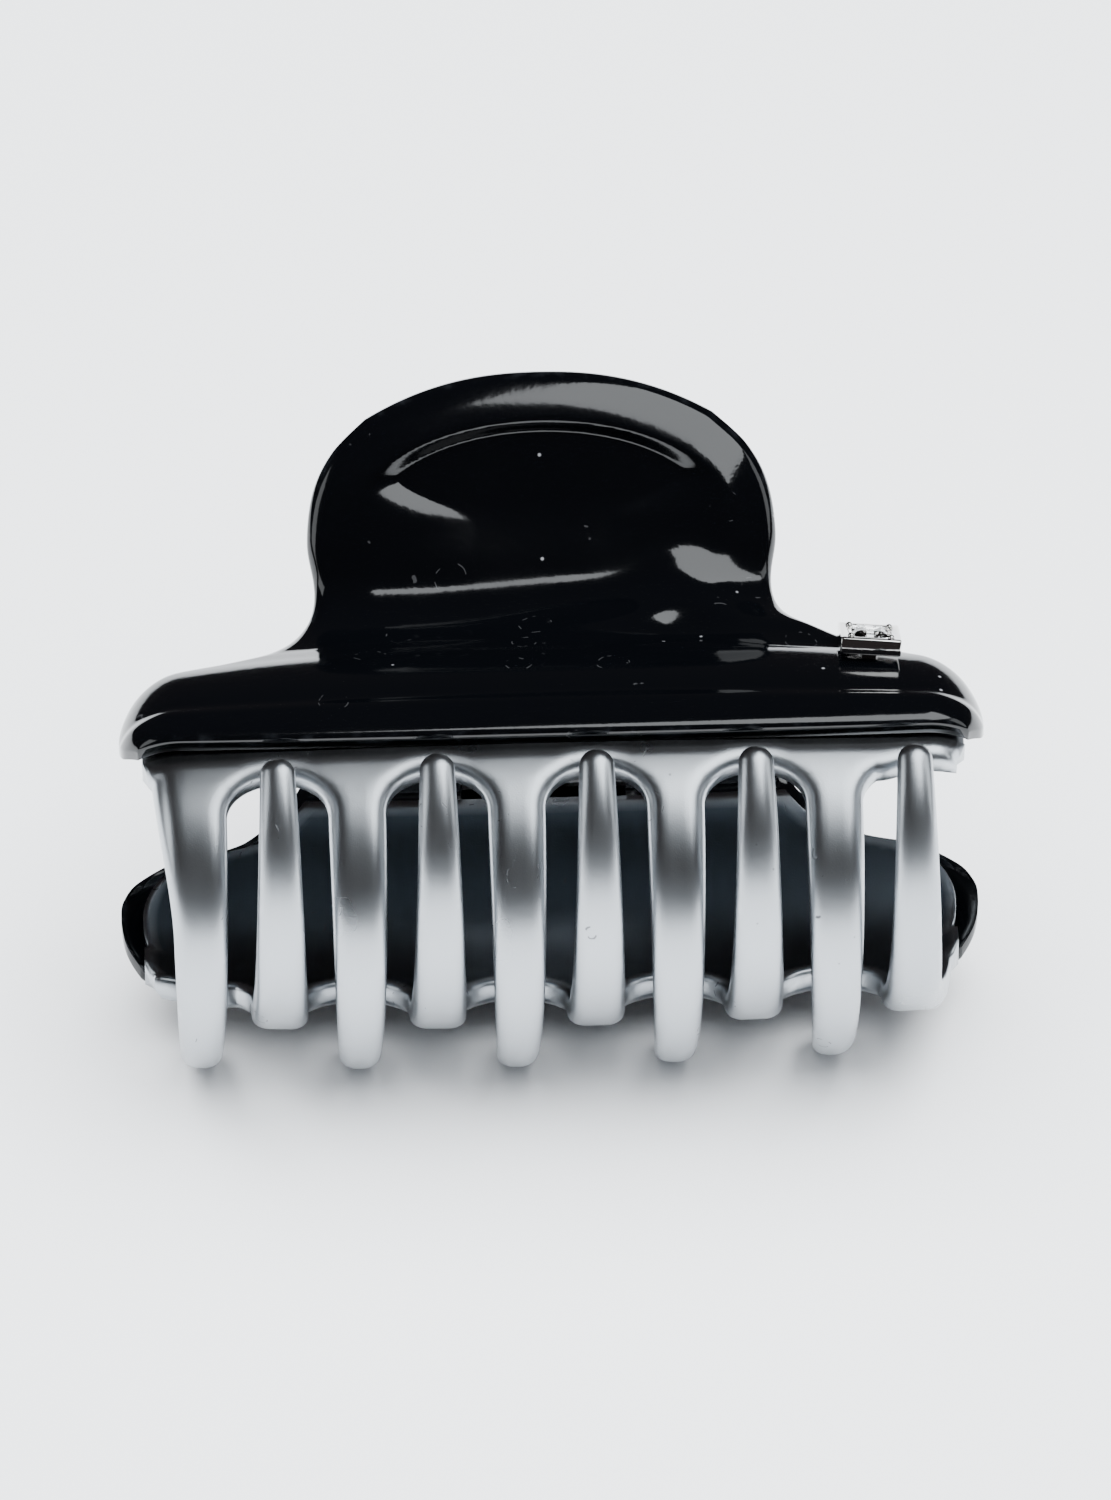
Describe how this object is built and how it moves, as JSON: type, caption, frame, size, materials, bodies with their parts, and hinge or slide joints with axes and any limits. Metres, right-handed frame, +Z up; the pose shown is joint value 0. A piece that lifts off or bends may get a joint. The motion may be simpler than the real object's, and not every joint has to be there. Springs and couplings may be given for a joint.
{
  "type": "claw hair clip",
  "caption": "Spring-hinged claw hair clip with glossy black thumb-tab shells, silver claw combs that interlace, and a small square stone in a bezel.",
  "frame": {"origin": "centre of the clip's bounding box, on the surface it lies on", "axes": "+X along the hinge axis, towards the jaw's end with the stone; +Y from the claws towards the handles; +Z up from the surface, towards the front jaw"},
  "size_m": [0.0852, 0.0638, 0.0563],
  "materials": {
    "black_lacquer": "deep black lacquer, mirror gloss",
    "silver_lacquer": "satin metallic silver lacquer over plastic",
    "steel": "drawn wire and pressed sheet",
    "chrome": "polished plate",
    "crystal": "square faceted crystal"
  },
  "bodies": {
    "rear_half": {"rear_shell": "black_lacquer", "rear_comb": "silver_lacquer", "rear_hinge_bracket": "steel", "rear_rivet_left": "steel", "rear_rivet_right": "steel", "hinge_pin": "steel", "pin_cap": "steel", "torsion_spring": "steel"},
    "front_half": {"front_shell": "black_lacquer", "front_comb": "silver_lacquer", "front_hinge_bracket": "steel", "front_rivet_left": "steel", "front_rivet_right": "steel", "stone_setting": "chrome", "stone": "crystal"}
  },
  "joints": [
    {"name": "jaw_hinge", "type": "hinge", "parent": "rear_half", "child": "front_half", "pos_m": [0, 0.0084, 0.02554], "axis": [-1, 0, 0], "range_deg": [0, 95], "stiffness_Nm_per_rad": 0.12, "springref_deg": -45.84, "deforming": ["torsion_spring"]}
  ]
}
